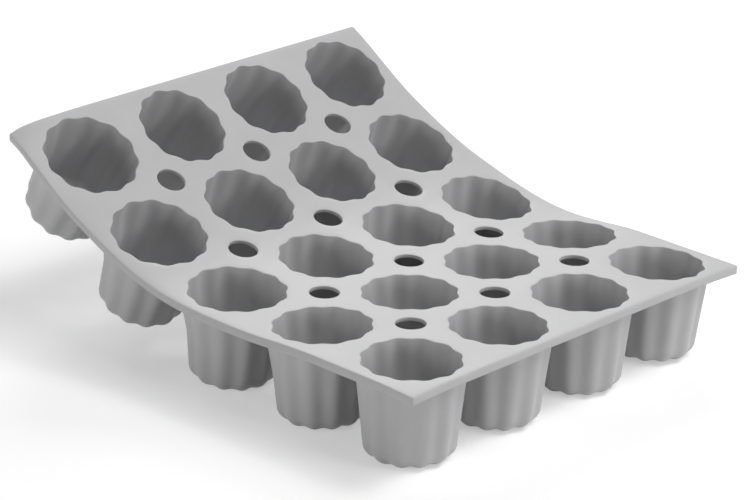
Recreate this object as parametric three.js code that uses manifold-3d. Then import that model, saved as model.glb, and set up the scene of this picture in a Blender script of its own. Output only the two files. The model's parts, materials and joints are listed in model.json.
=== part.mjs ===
// Silicone mini canele mould: a thin flexible sheet with a deeper rim round its outline, fluted cups
// hanging below it and round vents between them. The sheet is divided into rows that bend against
// each other along straight lines, and the model stands in a gentle curve, with its back rows lifted.
//
// Millimetres, +Z up. X runs along a row of cups and Y from the front row to the lifted back row.
// The origin is the middle of the bounding box, on the surface that the cups stand on.

import * as THREE from 'three';
import { mergeVertices } from 'three/addons/utils/BufferGeometryUtils.js';
import Module from 'manifold-3d';

// Layout of the tray
const ROWS = 5;
const CUPS_PER_ROW = 4;
const MOUTH_DIAMETER = 35.6;
const WEB_BETWEEN_COLUMNS = 8.4;
const WEB_BETWEEN_ROWS = 6.4;
const SIDE_MARGIN = 4.2;
const END_MARGIN = 3.2;
const SHEET_THICKNESS = 1.5;
const RIM_HEIGHT = 3.2;
const VENT_DIAMETER = 11;

// One cup: its height is counted from the sheet's top face to the underside of its floor
const CUP_HEIGHT = 35;
const CUP_WALL = 2;
const CUP_FLOOR = 1.6;
const CUP_DRAFT_DEGREES = 6;
const CUP_BOTTOM_RADIUS = 6;
const FLUTES = 12;
const FLUTE_DEPTH = 1;

// Bending: how far each line between two rows is bent as the tray stands, from front to back,
// and how far down the sheet can arch before the cups of neighbouring rows meet
const STANDING_BENDS_DEGREES = [0, 7, 16, 10];
const ARCH_LIMIT_DEGREES = 12;
const ARCH_SPARE_DEGREES = 1;

// Gaps left between separate pieces
const SEAT_GAP = 0.3;
const BEND_LINE_GAP = 0.3;
const RIM_TO_CUP_GAP = 0.3;

// Finish
const SILICONE_COLOUR = 0xc6c7c6;
const SILICONE_ROUGHNESS = 0.55;

// How finely round stretches are divided
const POINTS_PER_FLUTE = 3;
const VENT_POINTS = 16;
const BOTTOM_RADIUS_STEPS = 2;

// Sizes that follow from the ones above
const MOUTH_RADIUS = MOUTH_DIAMETER / 2;
const COLUMN_PITCH = MOUTH_DIAMETER + WEB_BETWEEN_COLUMNS;
const ROW_PITCH = MOUTH_DIAMETER + WEB_BETWEEN_ROWS;
const TRAY_WIDTH = (CUPS_PER_ROW - 1) * COLUMN_PITCH + MOUTH_DIAMETER + 2 * SIDE_MARGIN;
const END_REACH = MOUTH_RADIUS + END_MARGIN;
const BEND_LINE_REACH = (ROW_PITCH - BEND_LINE_GAP) / 2;
const DRAFT = Math.tan(THREE.MathUtils.degToRad(CUP_DRAFT_DEGREES));
const UNDERCUT_ANGLE = THREE.MathUtils.degToRad((ARCH_LIMIT_DEGREES + ARCH_SPARE_DEGREES) / 2);
const UNDERCUT = RIM_HEIGHT * Math.tan(UNDERCUT_ANGLE);
const RIM_WIDTH = Math.min(SIDE_MARGIN, END_MARGIN) - CUP_WALL - RIM_TO_CUP_GAP;
const CUT_OVERRUN = RIM_HEIGHT;

const wasm = await Module();
wasm.setup();

// A closed three.js geometry as a solid that can be cut
function toSolid(geometry) {
  const bare = geometry.clone();
  bare.deleteAttribute('normal');
  bare.deleteAttribute('uv');
  const merged = mergeVertices(bare);
  return new wasm.Manifold(new wasm.Mesh({
    numProp: 3,
    vertProperties: new Float32Array(merged.attributes.position.array),
    triVerts: new Uint32Array(merged.index.array),
  }));
}

function toGeometry(solid) {
  const mesh = solid.getMesh();
  const geometry = new THREE.BufferGeometry();
  geometry.setAttribute('position', new THREE.BufferAttribute(mesh.vertProperties, 3));
  geometry.setIndex(new THREE.BufferAttribute(mesh.triVerts, 1));
  geometry.computeVertexNormals();
  return geometry;
}

function siliconeMesh(name, geometry) {
  const material = new THREE.MeshStandardMaterial({
    color: SILICONE_COLOUR,
    roughness: SILICONE_ROUGHNESS,
    metalness: 0,
  });
  const mesh = new THREE.Mesh(geometry, material);
  mesh.name = name;
  return mesh;
}

// The cavity narrows downwards from the mouth, and the wall follows it at an even thickness
function cavityRadius(z) {
  return MOUTH_RADIUS + z * DRAFT;
}

function wallRadius(z) {
  return cavityRadius(z) + CUP_WALL;
}

// Turns a profile about the vertical and draws it in between the lobes: full lobes with narrow
// notches, as deep as FLUTE_DEPTH at the mouth and shallower towards the axis. A lobe faces the
// front, and the first point of the turning lies in the notch beside it.
function flutedTurning(profile) {
  const firstNotch = Math.PI / FLUTES;
  const geometry = new THREE.LatheGeometry(profile, FLUTES * POINTS_PER_FLUTE, firstNotch);
  geometry.rotateX(Math.PI / 2);
  const position = geometry.attributes.position;
  for (let i = 0; i < position.count; i += 1) {
    const x = position.getX(i);
    const y = position.getY(i);
    const lobe = Math.abs(Math.cos(Math.atan2(x, -y) * FLUTES / 2));
    const factor = 1 - (1 - lobe) * FLUTE_DEPTH / MOUTH_RADIUS;
    position.setXY(i, x * factor, y * factor);
  }
  return geometry;
}

// The rounding between a floor and the wall above it, from the floor outwards
function bottomRounding(floorZ, radiusAt, roundingRadius) {
  const centreZ = floorZ + roundingRadius;
  const centreR = radiusAt(centreZ) - roundingRadius;
  const points = [];
  for (let step = 0; step <= BOTTOM_RADIUS_STEPS; step += 1) {
    const angle = (step / BOTTOM_RADIUS_STEPS) * Math.PI / 2;
    const r = centreR + roundingRadius * Math.sin(angle);
    const z = centreZ - roundingRadius * Math.cos(angle);
    points.push(new THREE.Vector2(r, z));
  }
  return points;
}

// One cup as a closed shell, hanging from the sheet's underside
function cupGeometry() {
  const topZ = -SHEET_THICKNESS - SEAT_GAP;
  const outsideFloorZ = -CUP_HEIGHT;
  const insideFloorZ = outsideFloorZ + CUP_FLOOR;
  const insideRounding = CUP_BOTTOM_RADIUS - CUP_WALL;
  const outside = bottomRounding(outsideFloorZ, wallRadius, CUP_BOTTOM_RADIUS);
  const inside = bottomRounding(insideFloorZ, cavityRadius, insideRounding);
  return flutedTurning([
    new THREE.Vector2(0, outsideFloorZ),
    ...outside,
    new THREE.Vector2(wallRadius(topZ), topZ),
    new THREE.Vector2(cavityRadius(topZ), topZ),
    ...inside.reverse(),
    new THREE.Vector2(0, insideFloorZ),
  ]);
}

// The tool that opens a mouth through the sheet, with the flutes and draft of the cavity below
function mouthCutter() {
  const lowZ = -RIM_HEIGHT - CUT_OVERRUN;
  const highZ = CUT_OVERRUN;
  return toSolid(flutedTurning([
    new THREE.Vector2(0, lowZ),
    new THREE.Vector2(cavityRadius(lowZ), lowZ),
    new THREE.Vector2(cavityRadius(highZ), highZ),
    new THREE.Vector2(0, highZ),
  ]));
}

function ventCutter() {
  const radius = VENT_DIAMETER / 2;
  const height = SHEET_THICKNESS + 2 * CUT_OVERRUN;
  const cylinder = new THREE.CylinderGeometry(radius, radius, height, VENT_POINTS);
  cylinder.rotateX(Math.PI / 2);
  cylinder.translate(0, 0, -SHEET_THICKNESS / 2);
  return toSolid(cylinder);
}

// Places along X, with the row centred on the tray
function cupX(column) {
  return (column - (CUPS_PER_ROW - 1) / 2) * COLUMN_PITCH;
}

function ventX(index) {
  return cupX(index) + COLUMN_PITCH / 2;
}

// The tool that hollows the underside of a row and leaves the rim on the sides of the tray, and at
// its front and back
function undersideCutter(meetsFront, meetsBack) {
  const frontY = -END_REACH + (meetsFront ? -CUT_OVERRUN : RIM_WIDTH);
  const backY = END_REACH + (meetsBack ? CUT_OVERRUN : -RIM_WIDTH);
  const depth = RIM_HEIGHT - SHEET_THICKNESS + CUT_OVERRUN;
  const block = new THREE.BoxGeometry(TRAY_WIDTH - 2 * RIM_WIDTH, backY - frontY, depth);
  block.translate(0, (frontY + backY) / 2, -SHEET_THICKNESS - depth / 2);
  return toSolid(block);
}

// One row of sheet, centred on its cups. Where it meets another row its end is undercut, so that
// the sheet can arch; at the front and back of the tray it ends in the rim.
function sheetGeometry(row) {
  const meetsFront = row > 0;
  const meetsBack = row < ROWS - 1;
  const frontY = meetsFront ? -BEND_LINE_REACH : -END_REACH;
  const backY = meetsBack ? BEND_LINE_REACH : END_REACH;
  const section = new THREE.Shape([
    new THREE.Vector2(frontY, 0),
    new THREE.Vector2(frontY + (meetsFront ? UNDERCUT : 0), -RIM_HEIGHT),
    new THREE.Vector2(backY - (meetsBack ? UNDERCUT : 0), -RIM_HEIGHT),
    new THREE.Vector2(backY, 0),
  ]);
  const strip = new THREE.ExtrudeGeometry(section, { depth: TRAY_WIDTH, bevelEnabled: false });
  // The section's axes become Y and Z, and the extrusion runs along X
  strip.applyMatrix4(new THREE.Matrix4().makeBasis(
    new THREE.Vector3(0, 1, 0),
    new THREE.Vector3(0, 0, 1),
    new THREE.Vector3(1, 0, 0),
  ));
  strip.translate(-TRAY_WIDTH / 2, 0, 0);

  let sheet = toSolid(strip).subtract(undersideCutter(meetsFront, meetsBack));
  const mouth = mouthCutter();
  for (let column = 0; column < CUPS_PER_ROW; column += 1) {
    sheet = sheet.subtract(mouth.translate([cupX(column), 0, 0]));
  }
  const vent = ventCutter();
  const bendLines = [];
  if (meetsFront) bendLines.push(-ROW_PITCH / 2);
  if (meetsBack) bendLines.push(ROW_PITCH / 2);
  for (const y of bendLines) {
    for (let index = 0; index < CUPS_PER_ROW - 1; index += 1) {
      sheet = sheet.subtract(vent.translate([ventX(index), y, 0]));
    }
  }
  return toGeometry(sheet);
}

// One row: its strip of sheet and the cups that hang from it
function makeRow(row) {
  const group = new THREE.Group();
  group.add(siliconeMesh(`sheet_row_${row + 1}`, sheetGeometry(row)));
  for (let column = 0; column < CUPS_PER_ROW; column += 1) {
    const cup = siliconeMesh(`cup_r${row + 1}_c${column + 1}`, cupGeometry());
    cup.position.x = cupX(column);
    group.add(cup);
  }
  return group;
}

// Each row is carried by the one before it. The bend line lies half a pitch from either row, in
// the sheet's top face.
function makeTray() {
  const tray = new THREE.Group();
  let carrier = tray;
  for (let row = 0; row < ROWS; row += 1) {
    const rowGroup = makeRow(row);
    if (row === 0) {
      carrier.add(rowGroup);
    } else {
      const bendLine = new THREE.Group();
      bendLine.position.y = ROW_PITCH / 2;
      bendLine.rotation.x = THREE.MathUtils.degToRad(STANDING_BENDS_DEGREES[row - 1]);
      rowGroup.position.y = ROW_PITCH / 2;
      bendLine.add(rowGroup);
      carrier.add(bendLine);
    }
    carrier = rowGroup;
  }
  return tray;
}

// Stands the tray on the origin
const mould = makeTray();
const box = new THREE.Box3().setFromObject(mould, true);
mould.position.set(0, -(box.min.y + box.max.y) / 2, -box.min.z);

export default mould;
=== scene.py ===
"""Dresses the silicone mini canele mould: the moulding as it really is, one smooth skin over each
row of sheet and cups, with a narrow strip along each bend line between two rows.

The moulding is drawn flat first. A point has three flat coordinates: x across the tray, v along it
from the middle of its row, and n up from the sheet's top face. Cell.stand() then lays it on its
row, bowed so that the rows run into each other in one curve, and sagging as soft sheet does.
"""

import json
import math

import bmesh
import bpy
import numpy as np
from mathutils import Matrix, Vector


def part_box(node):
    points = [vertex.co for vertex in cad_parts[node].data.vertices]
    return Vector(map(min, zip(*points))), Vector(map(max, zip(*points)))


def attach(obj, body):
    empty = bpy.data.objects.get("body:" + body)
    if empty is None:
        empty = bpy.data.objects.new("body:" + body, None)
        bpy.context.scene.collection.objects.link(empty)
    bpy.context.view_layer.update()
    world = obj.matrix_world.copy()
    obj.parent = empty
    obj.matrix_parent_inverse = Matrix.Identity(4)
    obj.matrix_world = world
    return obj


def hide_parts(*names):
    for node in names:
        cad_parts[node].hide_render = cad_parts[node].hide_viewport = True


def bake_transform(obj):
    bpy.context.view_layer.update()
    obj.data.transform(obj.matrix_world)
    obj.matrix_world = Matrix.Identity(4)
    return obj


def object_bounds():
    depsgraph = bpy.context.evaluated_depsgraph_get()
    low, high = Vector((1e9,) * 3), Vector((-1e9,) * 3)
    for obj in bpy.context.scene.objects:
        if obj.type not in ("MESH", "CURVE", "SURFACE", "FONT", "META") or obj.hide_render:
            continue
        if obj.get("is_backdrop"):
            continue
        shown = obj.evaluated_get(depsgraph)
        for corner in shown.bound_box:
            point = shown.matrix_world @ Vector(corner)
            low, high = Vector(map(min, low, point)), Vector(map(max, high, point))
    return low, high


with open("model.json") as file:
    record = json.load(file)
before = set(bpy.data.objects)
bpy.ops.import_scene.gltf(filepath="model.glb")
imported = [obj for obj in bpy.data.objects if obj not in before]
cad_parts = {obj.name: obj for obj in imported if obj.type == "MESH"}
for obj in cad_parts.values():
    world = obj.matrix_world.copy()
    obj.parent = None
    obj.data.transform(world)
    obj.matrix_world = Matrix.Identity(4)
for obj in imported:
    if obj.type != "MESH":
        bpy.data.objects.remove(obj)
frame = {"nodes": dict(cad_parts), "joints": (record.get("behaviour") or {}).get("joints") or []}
cad_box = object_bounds()

MM = 0.001

# The tray, from the frame
ROWS = 5
COLUMNS = 4
BENDS = sorted((Vector(joint["pos_m"]) for joint in frame["joints"]), key=lambda place: place.y)
ROW_PITCH = (BENDS[1] - BENDS[0]).length
SHEET_LOW, SHEET_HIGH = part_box("sheet_row_1")
RIM_HEIGHT = SHEET_HIGH.z - SHEET_LOW.z
HALF_WIDTH = SHEET_HIGH.x
FRONT_EDGE = SHEET_LOW.y

# The sheet and its vents
SHEET_THICKNESS = 1.5 * MM
RIM_WIDTH = 0.9 * MM
VENT_RADIUS = 5.5 * MM

# The cups
MOUTH_RADIUS = 17.8 * MM
DRAFT = math.tan(math.radians(6))
WALL = 1.9 * MM
FLOOR = 1.6 * MM
CUP_HEIGHT = 35 * MM
BOTTOM_RADIUS = 6 * MM
FLUTES = 12
FLUTE_DEPTH = 0.9 * MM
FLUTE_LOST_ROUND_BOTTOM = 0.25
FLUTE_END_RADIUS = 8 * MM

# Roundings
LIP_RADIUS = 0.3 * MM
UNDER_LIP_RADIUS = 0.05 * MM
RIM_TOP_RADIUS = 0.5 * MM
RIM_LOW_RADIUS = 0.4 * MM
RIM_ROOT_RADIUS = 0.15 * MM
VENT_EDGE_RADIUS = 0.25 * MM
CORNER_RADIUS = 1.0 * MM
SMALLEST_CORNER = 0.2 * MM

# The strip along a bend line reaches this far to either side of it, and this is a share of that
# reach
FLEX_REACH = 1.4 * MM
FLEX_SHARE = 0.7

# How the soft sheet lies off its plain curve. The back edge flattens out, the lifted rows lean to
# the left, the left side is drawn out and hangs a little with its edge curled down, and the right
# side hangs at the front and dips where the sheet starts to curl. The left corners droop most, and
# the front is a little crowned at two of its vents.
BACK_EDGE_RISE = math.radians(-2.85)
LEAN = 7.3 * MM
LEAN_EASES = 0.84
LEAN_STARTS_AFTER_ROWS = 1.0
LEFT_OUT = 4.1 * MM
LEFT_DOWN = 1.0 * MM
LEFT_CURL = 0.6 * MM
LEFT_CURL_WIDTH = 6 * MM
LEFT_STARTS_AFTER_ROWS = 0.7
RIGHT_DOWN = 0.9 * MM
RIGHT_ENDS_AFTER_ROWS = 2
DIP = 2.85 * MM
DIP_STARTS_AT_COLUMN = 2
DIP_AFTER_ROWS = 1.6
DIP_REACH_ROWS = 0.95
DIP_POWER = 1.3
CROWN = 0.55 * MM
CROWN_REACH = 44 * MM
CROWN_AFTER_ROWS = 0.5
CROWN_AFTER_COLUMNS = (0, 2)
FRONT_CORNER_DOWN = 0.7 * MM
FRONT_CORNER_REACH = 24 * MM
BACK_CORNER_DOWN = 1.3 * MM
BACK_CORNER_REACH = 14 * MM

# A cup follows the bowed sheet at the rim, and keeps its own shape from this far below the rim
CUP_STIFF_DEPTH = 14 * MM

# How finely the skin is divided
AROUND = 144
SIDE_STEPS = 12
ARC_STEPS = 8
ROUND_STEPS = 4
WALL_STEPS = 8
BOTTOM_STEPS = 8
FLOOR_RINGS = 3
PATCH_RINGS = 3
FLEX_STEPS = 12
BEND_SAMPLES = 5
SLOPE_STEP = 0.05 * MM
MERGE_DISTANCE = 0.002 * MM


def cup_name(row, column):
    return f"cup_r{row + 1}_c{column + 1}"


def column_middle(column):
    """Middle of a column of cups, across the tray."""
    low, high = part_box(cup_name(0, column))
    return (low.x + high.x) / 2


COLUMN_X = [column_middle(column) for column in range(COLUMNS)]
COLUMN_PITCH = COLUMN_X[1] - COLUMN_X[0]


def sheet_tilt(row):
    """How steeply a row of sheet rises towards the back, from the largest of its upward faces."""
    faces = frame["nodes"][f"sheet_row_{row + 1}"].data.polygons
    widest = max((face for face in faces if face.normal.z > 0), key=lambda face: face.area)
    return math.atan2(-widest.normal.y, widest.normal.z)


TILTS = [sheet_tilt(row) for row in range(ROWS)]


def row_middle(row):
    """The middle of a row on the sheet's top face, as (y, z)."""
    tilt = TILTS[row]
    if row < ROWS - 1:
        bend, side = BENDS[row], -1
    else:
        bend, side = BENDS[row - 1], 1
    reach = side * ROW_PITCH / 2
    return bend.y + reach * math.cos(tilt), bend.z + reach * math.sin(tilt)


MIDDLES = [row_middle(row) for row in range(ROWS)]
END_REACH = MIDDLES[0][0] - FRONT_EDGE


def smooth(t):
    t = np.clip(t, 0, 1)
    return t * t * (3 - 2 * t)


def bow(row, v):
    """Height and slope of a row's bowed sheet over its flat CAD strip: a cubic that is level with
    the strip at both bend lines and shares the neighbouring row's slope there."""
    tilt = TILTS[row]
    front = tilt if row == 0 else (TILTS[row - 1] + tilt) / 2
    back = tilt + BACK_EDGE_RISE if row == ROWS - 1 else (tilt + TILTS[row + 1]) / 2
    front_slope, back_slope = math.tan(front - tilt), math.tan(back - tilt)
    t = v / ROW_PITCH + 0.5
    height = ROW_PITCH * (front_slope * (t**3 - 2 * t**2 + t) + back_slope * (t**3 - t**2))
    slope = front_slope * (3 * t**2 - 4 * t + 1) + back_slope * (3 * t**2 - 2 * t)
    return height, slope


def share(value, start, end):
    """How far a value has gone from the start to the end, and on past it."""
    return np.clip((value - start) / (end - start), 0, None)


SIDE_STARTS = COLUMN_X[-1] - MOUTH_RADIUS
DIP_STARTS = COLUMN_X[DIP_STARTS_AT_COLUMN]
CROWN_PLACES = [COLUMN_X[column] + COLUMN_PITCH / 2 for column in CROWN_AFTER_COLUMNS]
FIRST_ROW_START = -END_REACH / ROW_PITCH
LAST_ROW_END = ROWS - 1 + END_REACH / ROW_PITCH


def hanging(rows):
    """How much of the left side's sag there is, by how many rows along the tray."""
    return share(rows, LEFT_STARTS_AFTER_ROWS, LAST_ROW_END)


def drawn_out(row, x, v):
    """How far the soft sheet is drawn out to the left."""
    return LEFT_OUT * share(-x, SIDE_STARTS, HALF_WIDTH) * hanging(row + v / ROW_PITCH)


def rise(row, x, v):
    """How far the soft sheet lies above its plain curve."""
    rows = row + v / ROW_PITCH
    leaning = share(rows, LEAN_STARTS_AFTER_ROWS, LAST_ROW_END)
    lean = LEAN * leaning * (1 - LEAN_EASES * leaning) * x / HALF_WIDTH

    left = LEFT_DOWN * share(-x, SIDE_STARTS, HALF_WIDTH) ** 2
    left = left + LEFT_CURL * share(-x, HALF_WIDTH - LEFT_CURL_WIDTH, HALF_WIDTH) ** 2
    right = RIGHT_DOWN * share(x, SIDE_STARTS, HALF_WIDTH) ** 2

    from_left = x + HALF_WIDTH
    from_front = (rows - FIRST_ROW_START) * ROW_PITCH
    from_back = (LAST_ROW_END - rows) * ROW_PITCH
    front_corner = FRONT_CORNER_DOWN * share(from_left + from_front, FRONT_CORNER_REACH, 0) ** 2
    back_corner = BACK_CORNER_DOWN * share(from_left + from_back, BACK_CORNER_REACH, 0) ** 2

    off_dip = np.clip(abs(rows - DIP_AFTER_ROWS) / DIP_REACH_ROWS, 0, 1)
    dip = DIP * np.cos(off_dip * math.pi / 2) ** 2
    dip = dip * share(x, DIP_STARTS, HALF_WIDTH) ** DIP_POWER

    crown = 0.0
    for place in CROWN_PLACES:
        away = np.hypot(x - place, (rows - CROWN_AFTER_ROWS) * ROW_PITCH)
        crown = crown + CROWN * smooth(1 - away / CROWN_REACH)

    down = left * hanging(rows) + right * share(rows, RIGHT_ENDS_AFTER_ROWS, 0) + dip
    return lean + crown - down - front_corner - back_corner


def cross_slope(row, x, v):
    """How steeply the soft sheet's height over its plain curve changes across the tray."""
    return (rise(row, x + SLOPE_STEP, v) - rise(row, x - SLOPE_STEP, v)) / (2 * SLOPE_STEP)


class Skin:
    """Points and faces of one piece. Points are added in loops, already standing in the tray."""

    def __init__(self):
        self.points = []
        self.faces = []
        self.flat_faces = []

    def loop(self, places):
        first = len(self.points)
        self.points.extend(places)
        return list(range(first, len(self.points)))

    def strip(self, one, other, closed=True):
        """Quads between two loops of the same length."""
        steps = len(one) if closed else len(one) - 1
        for i in range(steps):
            k = (i + 1) % len(one)
            self.faces.append((one[i], one[k], other[k], other[i]))

    def stitch(self, inner, inner_turns, outer, outer_turns):
        """Triangles between two closed loops, taken round by their angles."""
        i = k = 0
        inner_next = np.append(inner_turns[1:], inner_turns[0] + 2 * math.pi)
        outer_next = np.append(outer_turns[1:], outer_turns[0] + 2 * math.pi)
        while i < len(inner) or k < len(outer):
            a, b = inner[i % len(inner)], outer[k % len(outer)]
            if k >= len(outer) or (i < len(inner) and inner_next[i] <= outer_next[k]):
                self.faces.append((a, b, inner[(i + 1) % len(inner)]))
                i += 1
            else:
                self.faces.append((a, b, outer[(k + 1) % len(outer)]))
                k += 1

    def fan(self, loop, centre):
        for i, a in enumerate(loop):
            self.faces.append((a, loop[(i + 1) % len(loop)], centre))

    def end(self, corners):
        """A flat end face, with sharp edges."""
        self.flat_faces.append(len(self.faces))
        self.faces.append(tuple(corners))

    def make(self, name):
        mesh = bpy.data.meshes.new(name)
        mesh.from_pydata([tuple(point) for point in self.points], [], self.faces)
        mesh.polygons.foreach_set("use_smooth", [True] * len(mesh.polygons))
        skin = bmesh.new()
        skin.from_mesh(mesh)
        skin.faces.ensure_lookup_table()
        for index in self.flat_faces:
            skin.faces[index].smooth = False
            for edge in skin.faces[index].edges:
                edge.smooth = False
        bmesh.ops.remove_doubles(skin, verts=skin.verts, dist=MERGE_DISTANCE)
        bmesh.ops.recalc_face_normals(skin, faces=skin.faces)
        skin.to_mesh(mesh)
        skin.free()
        piece = bpy.data.objects.new(name, mesh)
        bpy.context.scene.collection.objects.link(piece)
        return piece


def quarter(steps=ROUND_STEPS):
    """Angles round a quarter circle."""
    return np.linspace(0, math.pi / 2, steps + 1)


def rim_profile():
    """The rim from the top face, down its outside, under it and up to the sheet's underside, as
    (inset, n)."""
    top, low, root = RIM_TOP_RADIUS, RIM_LOW_RADIUS, RIM_ROOT_RADIUS
    points = [(top * (1 - math.sin(a)), -top * (1 - math.cos(a))) for a in quarter()]
    points += [(low * (1 - math.cos(a)), -RIM_HEIGHT + low * (1 - math.sin(a))) for a in quarter()]
    points += [
        (RIM_WIDTH - low * (1 - math.sin(a)), -RIM_HEIGHT + low * (1 - math.cos(a)))
        for a in quarter()
    ]
    points += [
        (RIM_WIDTH + root * (1 - math.cos(a)), -SHEET_THICKNESS - root * (1 - math.sin(a)))
        for a in quarter()
    ]
    return points


def vent_profile():
    """The edge of a vent from the top face to the underside, as (inset, n)."""
    edge = VENT_EDGE_RADIUS
    points = [(edge * (1 - math.sin(a)), -edge * (1 - math.cos(a))) for a in quarter()]
    points += [
        (edge * (1 - math.cos(a)), -SHEET_THICKNESS + edge * (1 - math.sin(a)))
        for a in quarter()
    ]
    return points


PROFILES = {"rim": rim_profile(), "vent": vent_profile()}


class Cell:
    """One cup's share of a row, with the sheet around it out to its neighbours or the rim."""

    def __init__(self, row, column):
        self.row = row
        self.x = COLUMN_X[column]
        self.outer = {-1: column == 0, 1: column == COLUMNS - 1}
        self.meets = {-1: row > 0, 1: row < ROWS - 1}
        self.lift = 0.0

    def stand(self, points, n):
        """Where points stand in the tray, given from the cup's middle and at a height n over the
        sheet's top face."""
        x, v = np.asarray(points, float).T
        n = np.broadcast_to(n, x.shape)
        row, tilt = self.row, TILTS[self.row]

        height, slope = bow(row, v)
        angle = np.arctan(slope)
        along = v - n * np.sin(angle)
        up = height + n * np.cos(angle)
        lifted = rise(row, self.x + x, v)
        lean = cross_slope(row, self.x + x, v)
        across = x - drawn_out(row, self.x + x, v) - n * lean * math.cos(tilt)

        height, slope = bow(row, 0.0)
        angle = math.atan(slope)
        cup_along = v * math.cos(angle) - n * math.sin(angle)
        cup_up = height + v * math.sin(angle) + n * math.cos(angle)
        lean = cross_slope(row, self.x, 0.0)
        cup_lifted = rise(row, self.x, 0.0) + lean * x + self.lift
        cup_across = x - n * lean * math.cos(tilt)

        own = smooth((-n - RIM_HEIGHT) / CUP_STIFF_DEPTH)
        along = along + own * (cup_along - along)
        up = up + own * (cup_up - up)
        across = across + own * (cup_across - across)
        lifted = lifted + own * (cup_lifted - lifted)

        y, z = MIDDLES[row]
        return np.column_stack([
            self.x + across,
            y + along * math.cos(tilt) - up * math.sin(tilt),
            z + along * math.sin(tilt) + up * math.cos(tilt) + lifted,
        ])

    def side_reach(self, side):
        if self.outer[side]:
            return HALF_WIDTH - side * self.x
        return COLUMN_PITCH / 2

    def corner(self, side, end, inset):
        """Points from the cell's side to its end at one corner, and what runs along them."""
        reach = self.side_reach(side)
        kind = "rim"
        if self.outer[side] and not self.meets[end]:
            radius = max(CORNER_RADIUS - inset["rim"], SMALLEST_CORNER)
            middle = inset["rim"] + radius
            points = [
                (reach - middle + radius * math.cos(a), END_REACH - middle + radius * math.sin(a))
                for a in quarter(ARC_STEPS)
            ]
        elif self.meets[end] and not self.outer[side]:
            kind = "vent"
            radius = VENT_RADIUS + inset["vent"]
            last = math.pi - math.asin(FLEX_REACH / radius)
            points = [
                (reach + radius * math.cos(a), ROW_PITCH / 2 - radius * math.sin(a))
                for a in np.linspace(math.pi / 2, last, ARC_STEPS + 1)
            ]
        elif self.meets[end]:
            points = [(reach - inset["rim"], ROW_PITCH / 2 - FLEX_REACH)]
        else:
            points = [(reach, END_REACH - inset["rim"])]
        return [(side * px, end * pv) for px, pv in points], kind

    def outline(self, inset):
        """The cell's closed outline, anticlockwise from its right side: points, and for each what
        runs from it to the next one."""
        points, kinds = [], []
        side_kind = {side: "rim" if self.outer[side] else "shared" for side in (-1, 1)}
        end_kind = {end: "end" if self.meets[end] else "rim" for end in (-1, 1)}
        corners = [
            (*self.corner(1, 1, inset), end_kind[1], 1),
            (*self.corner(-1, 1, inset), side_kind[-1], -1),
            (*self.corner(-1, -1, inset), end_kind[-1], 1),
            (*self.corner(1, -1, inset), side_kind[1], -1),
        ]
        turned = [corner[::way] for corner, _, _, way in corners]
        for index, (_, corner_kind, next_kind, _) in enumerate(corners):
            corner = turned[index]
            points += corner
            kinds += [corner_kind] * (len(corner) - 1)
            start, stop = np.array(corner[-1]), np.array(turned[(index + 1) % len(turned)][0])
            points += [tuple(start + (stop - start) * k / SIDE_STEPS) for k in range(1, SIDE_STEPS)]
            kinds += [next_kind] * SIDE_STEPS
        return np.array(points), kinds


TURNS = np.arange(AROUND) * 2 * math.pi / AROUND

# How far a fluted wall is drawn in at each turn: nothing on a lobe, and most in a notch
FLUTE_AT = FLUTE_DEPTH * (1 - np.cos(FLUTES * TURNS)) / 2


def cup_section(wall, lip_n, lip_radius, floor_n, bottom_radius):
    """One side of the cup's wall from its lip to near the middle of its floor, as (r, n, flute in
    r, flute in n). wall is how far it lies outside the cavity."""
    def radius(n):
        return MOUTH_RADIUS + n * DRAFT + wall

    rings = []
    lip_end = lip_n - lip_radius
    for a in quarter():
        r = radius(lip_end) + lip_radius * (1 - math.sin(a))
        rings.append((r, lip_n - lip_radius * (1 - math.cos(a)), 1, 0))
    bottom_n = floor_n + bottom_radius
    for n in np.linspace(lip_end, bottom_n, WALL_STEPS + 1)[1:-1]:
        rings.append((radius(n), n, 1, 0))
    flat_radius = radius(bottom_n) - bottom_radius
    for a in quarter(BOTTOM_STEPS):
        r = flat_radius + bottom_radius * math.cos(a)
        depth = 1 - FLUTE_LOST_ROUND_BOTTOM * math.sin(a)
        n = bottom_n - bottom_radius * math.sin(a)
        rings.append((r, n, depth * math.cos(a), depth * math.sin(a)))
    last_depth = 1 - FLUTE_LOST_ROUND_BOTTOM
    for r in np.linspace(flat_radius, 0, FLOOR_RINGS + 1)[1:-1]:
        fade = float(smooth((r - FLUTE_END_RADIUS) / (flat_radius - FLUTE_END_RADIUS)))
        rings.append((r, floor_n, 0, last_depth * fade))
    return rings


INSIDE = cup_section(0, 0, LIP_RADIUS, FLOOR - CUP_HEIGHT, BOTTOM_RADIUS - WALL)
OUTSIDE = cup_section(WALL, -SHEET_THICKNESS, UNDER_LIP_RADIUS, -CUP_HEIGHT, BOTTOM_RADIUS)


def cup_loops(cell, rings):
    """Each ring of a cup's side: its points from the cup's middle, and where they stand."""
    for r, n, flute_r, flute_n in rings:
        radii = r - FLUTE_AT * flute_r
        points = np.column_stack([radii * np.cos(TURNS), radii * np.sin(TURNS)])
        yield points, cell.stand(points, n + FLUTE_AT * flute_n)


def settle(cell):
    """Raises a cup that would reach below the surface that the mould stands on."""
    lowest = min(places[:, 2].min() for _, places in cup_loops(cell, OUTSIDE))
    cell.lift = max(0.0, -lowest)


def add_cup_side(skin, cell, rings, floor_n):
    """Adds one side of a cup and returns its first loop, with that loop's points."""
    previous = first = first_points = None
    for points, places in cup_loops(cell, rings):
        loop = skin.loop(places)
        if previous is None:
            first, first_points = loop, points
        else:
            skin.strip(previous, loop)
        previous = loop
    middle = skin.loop(cell.stand([(0, 0)], floor_n))
    skin.fan(previous, middle[0])
    return first, first_points


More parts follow.
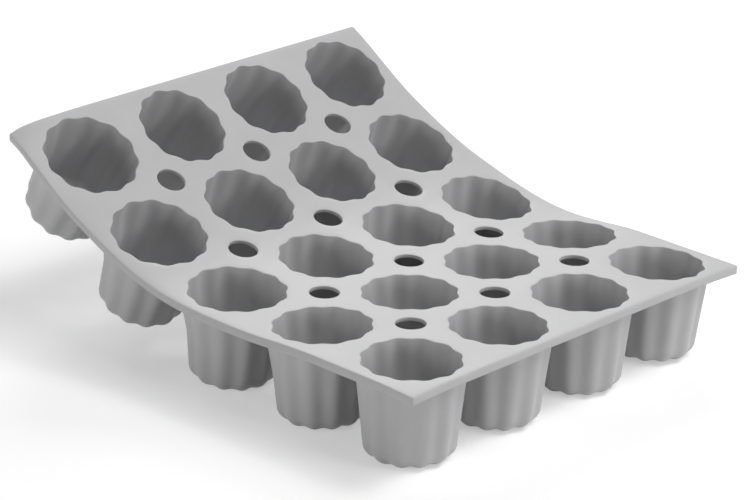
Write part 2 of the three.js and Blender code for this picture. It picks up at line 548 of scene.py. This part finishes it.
def add_face(skin, cell, inner, inner_points, step, n):
    """Fills one face of the sheet from a loop round the cup out to the cell's outline, at one step
    of the edge profiles, and returns the outline's loop."""
    outline, _ = cell.outline({kind: profile[step][0] for kind, profile in PROFILES.items()})
    turns = np.arctan2(outline[:, 1], outline[:, 0])
    start = int(np.argmin(np.where(turns < 0, math.inf, turns)))
    order = np.roll(np.arange(len(outline)), -start)
    turns = np.where(turns < 0, turns + 2 * math.pi, turns)[order]
    near = np.interp(turns, TURNS, np.hypot(*inner_points.T), period=2 * math.pi)
    far = np.hypot(*outline[order].T)
    previous = None
    for ring in range(1, PATCH_RINGS + 1):
        reach = near + (far - near) * ring / PATCH_RINGS
        points = np.column_stack([reach * np.cos(turns), reach * np.sin(turns)])
        loop = skin.loop(cell.stand(points, n))
        if previous is None:
            skin.stitch(inner, TURNS, loop, turns)
        else:
            skin.strip(previous, loop)
        previous = loop
    back = np.empty(len(order), int)
    back[order] = previous
    return [int(point) for point in back]


def add_edges(skin, cell, top, under):
    """Joins the outlines of the two faces by the rim and the vents, and by flat ends at the bend
    lines."""
    _, kinds = cell.outline({"rim": 0, "vent": 0})
    count = len(kinds)
    columns = {}
    for kind, profile in PROFILES.items():
        runs = [i for i in range(count) if kinds[i] == kind]
        needed = sorted(set(runs) | {(i + 1) % count for i in runs})
        if not needed:
            continue
        for i in needed:
            columns[i] = [top[i]]
        for inset, n in profile[1:-1]:
            outline, _ = cell.outline({"rim": inset, "vent": inset})
            for i, point in zip(needed, skin.loop(cell.stand(outline[needed], n))):
                columns[i].append(point)
        for i in needed:
            columns[i].append(under[i])
        for i in runs:
            skin.strip(columns[i], columns[(i + 1) % count], closed=False)
    for first in (i for i in range(count) if kinds[i] == "end" and kinds[i - 1] != "end"):
        stretch = [(first + step) % count for step in range(SIDE_STEPS + 1)]
        inner = stretch[1:-1]
        skin.end(
            [top[i] for i in inner]
            + columns[stretch[-1]]
            + [under[i] for i in reversed(inner)]
            + columns[stretch[0]][::-1]
        )


def make_row(row):
    """One row of the moulding: its stretch of sheet and its cups, as one closed skin."""
    skin = Skin()
    for column in range(COLUMNS):
        cell = Cell(row, column)
        settle(cell)
        lip, lip_points = add_cup_side(skin, cell, INSIDE, FLOOR - CUP_HEIGHT)
        seat, seat_points = add_cup_side(skin, cell, OUTSIDE, -CUP_HEIGHT)
        top = add_face(skin, cell, lip, lip_points, 0, 0)
        under = add_face(skin, cell, seat, seat_points, -1, -SHEET_THICKNESS)
        add_edges(skin, cell, top, under)
    piece = skin.make(f"row_{row + 1}_moulding")
    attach(piece, f"row_{row + 1}")
    nodes = [cup_name(row, column) for column in range(COLUMNS)]
    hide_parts(f"sheet_row_{row + 1}", *nodes)
    return piece


def flex_section(cell, offset):
    """The closed section of the sheet from one vent or rim to the next, at an offset from the bend
    line."""
    def kind(side):
        return "rim" if cell.outer[side] else "vent"

    def reach(side, inset):
        if cell.outer[side]:
            return cell.side_reach(side) - inset
        return cell.side_reach(side) - math.sqrt((VENT_RADIUS + inset) ** 2 - offset**2)

    def across(step):
        ends = [side * reach(side, PROFILES[kind(side)][step][0]) for side in (-1, 1)]
        return np.linspace(*ends, SIDE_STEPS + 1)

    points = [(x, 0) for x in across(0)]
    points += [(reach(1, inset), n) for inset, n in PROFILES[kind(1)][1:-1]]
    points += [(x, -SHEET_THICKNESS) for x in across(-1)[::-1]]
    points += [(-reach(-1, inset), n) for inset, n in PROFILES[kind(-1)][-2:0:-1]]
    return np.array(points)


def lie_of_bend(row):
    """Where a bend line lies in the soft sheet: its middle, and its direction."""
    across = np.linspace(-COLUMN_PITCH / 2, COLUMN_PITCH / 2, BEND_SAMPLES)
    flat = np.column_stack([across, np.full(BEND_SAMPLES, ROW_PITCH / 2)])
    line = np.vstack([Cell(row, column).stand(flat, 0) for column in range(COLUMNS)])
    middle = line.mean(axis=0)
    return Vector(middle), Vector(np.linalg.svd(line - middle)[2][0])


def make_bend(row):
    """The strip of sheet between a row and the next one, in lengths between vents."""
    skin = Skin()
    for column in range(COLUMNS):
        loops = []
        for offset in np.linspace(-FLEX_REACH, FLEX_REACH, FLEX_STEPS + 1):
            front = offset <= 0
            cell = Cell(row if front else row + 1, column)
            v = offset + (ROW_PITCH / 2 if front else -ROW_PITCH / 2)
            x, n = flex_section(cell, offset).T
            loops.append(skin.loop(cell.stand(np.column_stack([x, np.full(len(x), v)]), n)))
        for one, other in zip(loops, loops[1:]):
            skin.strip(one, other)
        skin.end(loops[0])
        skin.end(loops[-1])
    piece = skin.make(f"bend_line_{row + 1}_{row + 2}")
    slope = (TILTS[row] + TILTS[row + 1]) / 2
    middle, line = lie_of_bend(row)
    along = Vector((0, math.cos(slope), math.sin(slope)))
    reach = (along - along.dot(line) * line).normalized() * FLEX_REACH * FLEX_SHARE
    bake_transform(piece)
    return piece


# Material

SILICONE_COLOUR = (0.518, 0.518, 0.526)
SILICONE_ROUGHNESS = 0.5

# Faint clouds in colour and gloss: how many to the metre, where in the noise they begin and end,
# and how much of the body colour is there
CLOUD_SCALE = 60
CLOUD_DETAIL = 3
CLOUD_ENDS = (0.3, 0.7)
CLOUD_TINTS = (0.965, 1.03)
ROUGHNESS_SPREAD = 0.06

# The fine grain of the skin
GRAIN_SCALE = 2200
GRAIN_DETAIL = 2
GRAIN_STRENGTH = 0.08
GRAIN_DEPTH = 0.05 * MM


def silicone():
    """Matte grey silicone: a body colour with faint clouds, and a fine satin grain."""
    material = bpy.data.materials.new("silicone")
    material.use_nodes = True
    nodes, links = material.node_tree.nodes, material.node_tree.links
    shader = nodes["Principled BSDF"]
    place = nodes.new("ShaderNodeTexCoord")

    clouds = nodes.new("ShaderNodeTexNoise")
    clouds.inputs["Scale"].default_value = CLOUD_SCALE
    clouds.inputs["Detail"].default_value = CLOUD_DETAIL
    links.new(place.outputs["Object"], clouds.inputs["Vector"])
    tint = nodes.new("ShaderNodeValToRGB")
    for stop, end, level in zip(tint.color_ramp.elements, CLOUD_ENDS, CLOUD_TINTS):
        stop.position = end
        stop.color = (*(level * value for value in SILICONE_COLOUR), 1)
    links.new(clouds.outputs["Fac"], tint.inputs["Fac"])
    links.new(tint.outputs["Color"], shader.inputs["Base Color"])

    satin = nodes.new("ShaderNodeMapRange")
    satin.inputs["To Min"].default_value = SILICONE_ROUGHNESS - ROUGHNESS_SPREAD
    satin.inputs["To Max"].default_value = SILICONE_ROUGHNESS + ROUGHNESS_SPREAD
    links.new(clouds.outputs["Fac"], satin.inputs["Value"])
    links.new(satin.outputs["Result"], shader.inputs["Roughness"])

    grain = nodes.new("ShaderNodeTexNoise")
    grain.inputs["Scale"].default_value = GRAIN_SCALE
    grain.inputs["Detail"].default_value = GRAIN_DETAIL
    links.new(place.outputs["Object"], grain.inputs["Vector"])
    bump = nodes.new("ShaderNodeBump")
    bump.inputs["Strength"].default_value = GRAIN_STRENGTH
    bump.inputs["Distance"].default_value = GRAIN_DEPTH
    links.new(grain.outputs["Fac"], bump.inputs["Height"])
    links.new(bump.outputs["Normal"], shader.inputs["Normal"])
    return material


def make_moulding():
    material = silicone()
    pieces = [make_row(row) for row in range(ROWS)]
    pieces += [make_bend(row) for row in range(ROWS - 1)]
    for piece in pieces:
        piece.data.materials.append(material)


# Stage, light and camera

FLOOR_SIZE = 6.0
FLOOR_COLOUR = (0.8, 0.8, 0.8)
FLOOR_ROUGHNESS = 0.9

# How much lighter the floor looks than it is lit, to the camera and in reflections, so that it reads
# as white. Near the part this leaves room for its shadow, and it rises to the full glow between two
# distances in metres, where the lamps' light ends.
FLOOR_GLOW = 0.4
FULL_GLOW = 1.0
GLOW_RISES = (0.5, 1.5)
WORLD_LIGHT = 0.02
LAMP_DISTANCE = 1.6
LAMP_SIZE = 0.6

# Each lamp's azimuth and elevation in degrees, round from the back, and its power in watts
LAMPS = {
    "key": (135, 60, 10.2),
    "front": (180, 60, 4.8),
    "left": (282, 12, 6.9),
    "back": (45, 33, 8.0),
    "low": (162, 12, 6.5),
}

# Where the camera stands and looks, with its lens and sensor in millimetres
VIEW_AZIMUTH = math.radians(46.794)
VIEW_ELEVATION = math.radians(21.213)
VIEW_ROLL = math.radians(-1.567)
VIEW_PLACE = Vector((-725.9, -686.9, 420.7)) * MM
LENS = 138.64
SENSOR_WIDTH = 36
NEAR_CLIP = 0.01


def background_rays(tree):
    """A socket that is 1 for the rays that see the surroundings as white, and 0 for the others."""
    rays = tree.nodes.new("ShaderNodeLightPath")
    seen = rays.outputs["Is Camera Ray"]
    for kind in ("Is Glossy Ray", "Is Transmission Ray"):
        either = tree.nodes.new("ShaderNodeMath")
        either.operation = "MAXIMUM"
        tree.links.new(seen, either.inputs[0])
        tree.links.new(rays.outputs[kind], either.inputs[1])
        seen = either.outputs["Value"]
    return seen


def make_floor():
    bpy.ops.mesh.primitive_plane_add(size=FLOOR_SIZE, location=(0, 0, 0))
    floor = bpy.context.object
    floor.name = "floor"
    material = bpy.data.materials.new("floor")
    material.use_nodes = True
    shader = material.node_tree.nodes["Principled BSDF"]
    shader.inputs["Base Color"].default_value = (*FLOOR_COLOUR, 1)
    shader.inputs["Roughness"].default_value = FLOOR_ROUGHNESS
    shader.inputs["Emission Color"].default_value = (1, 1, 1, 1)
    nodes, links = material.node_tree.nodes, material.node_tree.links
    place = nodes.new("ShaderNodeNewGeometry")
    away = nodes.new("ShaderNodeVectorMath")
    away.operation = "LENGTH"
    links.new(place.outputs["Position"], away.inputs[0])
    glow = nodes.new("ShaderNodeMapRange")
    glow.inputs["From Min"].default_value, glow.inputs["From Max"].default_value = GLOW_RISES
    glow.inputs["To Min"].default_value = FLOOR_GLOW
    glow.inputs["To Max"].default_value = FULL_GLOW
    links.new(away.outputs["Value"], glow.inputs["Value"])
    seen = nodes.new("ShaderNodeMath")
    seen.operation = "MULTIPLY"
    links.new(glow.outputs["Result"], seen.inputs[0])
    links.new(background_rays(material.node_tree), seen.inputs[1])
    links.new(seen.outputs["Value"], shader.inputs["Emission Strength"])
    floor.data.materials.append(material)
    floor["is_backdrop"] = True


def make_light():
    world = bpy.data.worlds.new("studio")
    bpy.context.scene.world = world
    world.use_nodes = True
    nodes, links = world.node_tree.nodes, world.node_tree.links
    background = nodes["Background"]
    background.inputs["Color"].default_value = (1, 1, 1, 1)
    level = nodes.new("ShaderNodeMapRange")
    level.inputs["To Min"].default_value = WORLD_LIGHT
    level.inputs["To Max"].default_value = 1
    links.new(background_rays(world.node_tree), level.inputs["Value"])
    links.new(level.outputs["Result"], background.inputs["Strength"])

    for name, (azimuth, elevation, power) in LAMPS.items():
        light = bpy.data.lights.new(name, "AREA")
        light.energy = power
        light.size = LAMP_SIZE
        lamp = bpy.data.objects.new(name, light)
        bpy.context.scene.collection.objects.link(lamp)
        turn, height = math.radians(azimuth), math.radians(elevation)
        way = Vector((
            math.sin(turn) * math.cos(height),
            math.cos(turn) * math.cos(height),
            math.sin(height),
        ))
        lamp.location = way * LAMP_DISTANCE
        lamp.rotation_mode = "QUATERNION"
        lamp.rotation_quaternion = (-way).to_track_quat("-Z", "Y")


def make_camera():
    """Stands where the photograph was taken from, with its slight roll."""
    forward = Vector((
        math.sin(VIEW_AZIMUTH) * math.cos(VIEW_ELEVATION),
        math.cos(VIEW_AZIMUTH) * math.cos(VIEW_ELEVATION),
        -math.sin(VIEW_ELEVATION),
    ))
    right = forward.cross(Vector((0, 0, 1))).normalized()
    down = forward.cross(right)
    image_x = right * math.cos(VIEW_ROLL) + down * math.sin(VIEW_ROLL)
    image_y = down * math.cos(VIEW_ROLL) - right * math.sin(VIEW_ROLL)
    data = bpy.data.cameras.new("camera")
    data.lens = LENS
    data.sensor_width = SENSOR_WIDTH
    data.clip_start = NEAR_CLIP
    camera = bpy.data.objects.new("camera", data)
    bpy.context.scene.collection.objects.link(camera)
    turn = Matrix((image_x, -image_y, -forward)).transposed()
    camera.matrix_world = Matrix.Translation(VIEW_PLACE) @ turn.to_4x4()
    bpy.context.scene.camera = camera


def write_sizes():
    """Works out the CAD model's box and the dressed model's box."""
    boxes = {"cad": cad_box, "visual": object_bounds()}
    {name: [list(corner) for corner in box] for name, box in boxes.items()}


bpy.context.scene.view_settings.view_transform = "Standard"
make_camera()
make_moulding()
make_floor()
make_light()
write_sizes()
